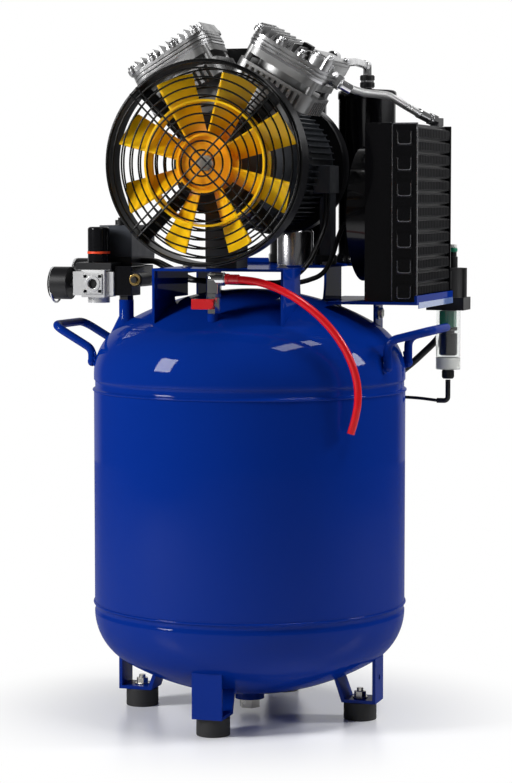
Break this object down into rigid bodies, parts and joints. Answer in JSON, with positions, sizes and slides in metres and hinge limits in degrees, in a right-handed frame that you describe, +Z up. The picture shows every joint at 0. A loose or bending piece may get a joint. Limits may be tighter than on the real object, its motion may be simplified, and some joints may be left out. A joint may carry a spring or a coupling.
{
  "type": "vertical tank air compressor",
  "caption": "Standing air receiver on rubber feet with an oil-free V-twin pump, caged axial fan, drying columns, finned cooler, regulator and drain hose.",
  "frame": {"origin": "on the floor, on the axis of the receiver, at the centre of the circle of the four foot bolts", "axes": "+Z up along the receiver, the fan faces -Y, the cooler stands at +X and the regulator at -X"},
  "size_m": [0.484, 0.4256, 0.8371],
  "materials": {
    "blue_paint": "glossy enamel",
    "foot_rubber": "matte",
    "zinc": "zinc plated",
    "steel": "machined",
    "cast_alloy": "bead blasted casting",
    "black_metal": "satin black",
    "gloss_black": "glossy",
    "black_plastic": "fine matte",
    "amber_plastic": "translucent moulding",
    "chrome_wire": "black wire",
    "brass": "turned",
    "chrome": "polished",
    "clear": "clear",
    "red_hose": "smooth",
    "red_paint": "glossy",
    "grey_cast": "fine cast",
    "copper": "wound",
    "can_metal": "polished can",
    "braid": "braided",
    "column_black": "glossy black",
    "white_plastic": "moulded"
  },
  "bodies": {
    "frame": {"tank_shell": "blue_paint", "top_dish": "blue_paint", "bottom_dish": "blue_paint", "tank_bosses": "blue_paint", "drain_plug": "zinc", "leg_straps": "blue_paint", "rubber_feet": "foot_rubber", "foot_fasteners": "zinc", "handle_left": "blue_paint", "handle_right": "blue_paint", "pump_platform": "blue_paint", "crankcase": "cast_alloy", "shaft_bearings": "steel", "cylinder_left": "cast_alloy", "head_left": "cast_alloy", "cylinder_right": "cast_alloy", "head_right": "cast_alloy", "valve_plates": "steel", "motor_frame": "cast_alloy", "motor_stator": "copper", "motor_cowl": "black_metal", "fan_shroud": "gloss_black", "fan_guard": "chrome_wire", "rubber_pads": "foot_rubber", "intake_silencer": "black_plastic", "run_capacitor": "can_metal", "drying_columns": "column_black", "column_elbows": "chrome", "delivery_line": "black_plastic", "braided_hose": "braid", "cooler_core": "black_metal", "cooler_duct": "black_metal", "cooler_motor": "black_plastic", "filter_head": "black_plastic", "filter_bowl": "clear", "filter_element": "white_plastic", "outlet_manifold": "black_metal", "regulator_body": "grey_cast", "gauge_cases": "black_plastic", "gauge_lenses": "clear", "switch_base": "black_plastic", "switch_cover": "black_plastic", "manifold_fittings": "zinc", "drain_valve_body": "zinc", "drain_elbow": "zinc", "drain_hose": "red_hose", "power_cables": "black_plastic", "filter_lines": "black_plastic"},
    "crank": {"crankshaft": "steel", "cooling_fan": "amber_plastic"},
    "piston_left": {"piston_left": "steel"},
    "piston_right": {"piston_right": "steel"},
    "cooler_fan": {"cooler_fan": "black_plastic"},
    "regulator_knob": {"regulator_knob": "black_plastic"},
    "outlet_pointer": {"outlet_gauge_pointer": "black_metal"},
    "tank_pointer": {"tank_gauge_pointer": "black_metal"},
    "switch_knob": {"switch_knob": "black_plastic"},
    "safety_ring": {"safety_valve_ring": "brass"},
    "drain_lever": {"drain_valve_lever": "red_paint"},
    "drain_knob": {"filter_drain_knob": "black_plastic"}
  },
  "joints": [
    {"name": "crank_spin", "type": "hinge", "parent": "frame", "child": "crank", "pos_m": [0, -0.172, 0.671], "axis": [0, 1, 0], "continuous": true},
    {"name": "piston_left_slide", "type": "slide", "parent": "frame", "child": "piston_left", "axis": [-0.5075, 0, 0.8616], "range_m": [-0.012, 0.012]},
    {"name": "piston_right_slide", "type": "slide", "parent": "frame", "child": "piston_right", "axis": [0.5075, 0, 0.8616], "range_m": [-0.012, 0.012]},
    {"name": "cooler_fan_spin", "type": "hinge", "parent": "frame", "child": "cooler_fan", "pos_m": [0.126, 0.065, 0.612], "axis": [1, 0, 0], "continuous": true},
    {"name": "regulator_knob_turn", "type": "hinge", "parent": "frame", "child": "regulator_knob", "pos_m": [-0.1788, -0.046, 0.5875], "axis": [0, 0, 1], "range_deg": [-360, 360]},
    {"name": "outlet_pointer_turn", "type": "hinge", "parent": "frame", "child": "outlet_pointer", "pos_m": [-0.2368, -0.046, 0.5275], "axis": [1, 0, 0], "range_deg": [0, 270]},
    {"name": "tank_pointer_turn", "type": "hinge", "parent": "frame", "child": "tank_pointer", "pos_m": [-0.226, 0.004, 0.537], "axis": [1, 0, 0], "range_deg": [0, 270]},
    {"name": "switch_knob_turn", "type": "hinge", "parent": "frame", "child": "switch_knob", "pos_m": [-0.165, -0.003, 0.598], "axis": [0, 0, 1], "range_deg": [0, 90]},
    {"name": "safety_ring_pull", "type": "slide", "parent": "frame", "child": "safety_ring", "axis": [0, -1, 0], "range_m": [0, 0.003], "stiffness_N_per_m": 300},
    {"name": "drain_lever_turn", "type": "hinge", "parent": "frame", "child": "drain_lever", "pos_m": [-0.0015, -0.146, 0.508], "axis": [0, -1, 0], "range_deg": [0, 90]},
    {"name": "filter_drain_turn", "type": "hinge", "parent": "frame", "child": "drain_knob", "pos_m": [0.207, 0.175, 0.416], "axis": [0, 0, 1], "range_deg": [0, 90]}
  ]
}
